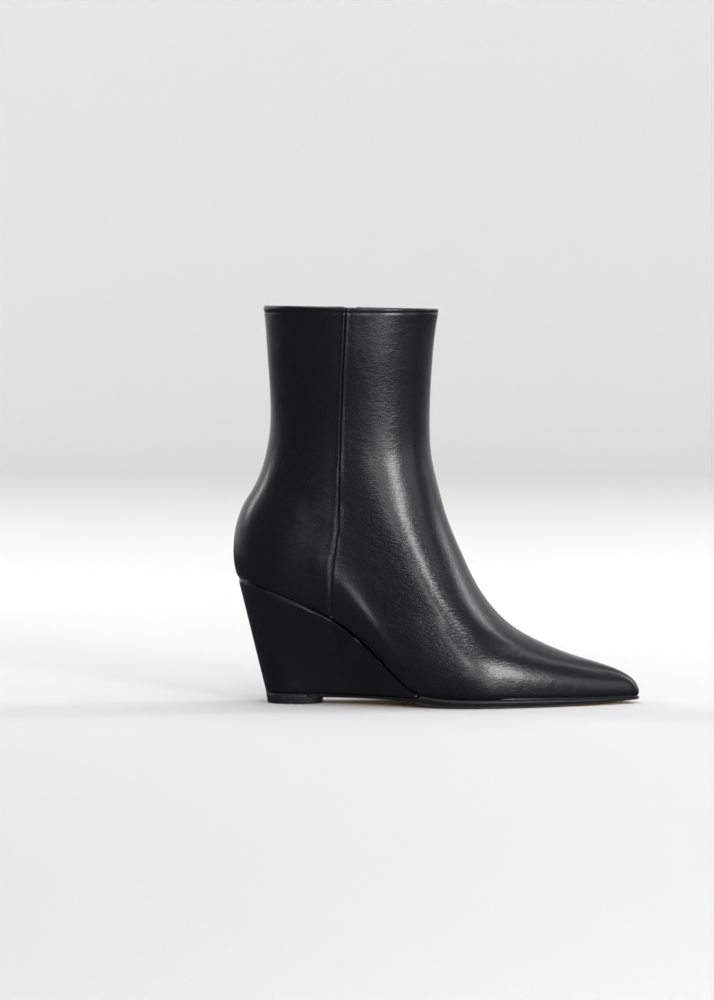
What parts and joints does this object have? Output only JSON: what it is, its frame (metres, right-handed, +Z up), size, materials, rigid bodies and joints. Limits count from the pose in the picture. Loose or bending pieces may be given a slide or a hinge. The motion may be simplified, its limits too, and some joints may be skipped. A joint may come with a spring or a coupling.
{
  "type": "ankle boot",
  "caption": "Woman's pointed ankle boot for the right foot: smooth black leather, covered wedge, side zip with a pull tab, separate top lift.",
  "frame": {"origin": "middle of the top lift's underside, on the floor", "axes": "+X from heel to toe, +Y to the inner side of the foot, where the zip is, +Z up"},
  "size_m": [0.2566, 0.083, 0.2502],
  "materials": {
    "upper_leather": "smooth semi-gloss",
    "insole_leather": "matte lining",
    "wedge_leather": "smooth semi-gloss",
    "sole_rubber": "satin edge",
    "lift_rubber": "matte",
    "zip_cloth": "woven tape",
    "zip_teeth": "fine coil",
    "slider_metal": "black lacquer",
    "pull_nickel": "polished nickel"
  },
  "bodies": {
    "boot": {"upper": "upper_leather", "insole": "insole_leather", "wedge": "wedge_leather", "outsole": "sole_rubber", "top_lift": "lift_rubber", "zip_tape": "zip_cloth", "zip_teeth": "zip_teeth", "zip_slider": "slider_metal"},
    "pull_tab": {"zip_pull": "pull_nickel"}
  },
  "joints": [
    {"name": "pull_swing", "type": "hinge", "parent": "boot", "child": "pull_tab", "pos_m": [0.03334, 0.03541, 0.24243], "axis": [1, 0, 0], "range_deg": [-4, 165]}
  ]
}
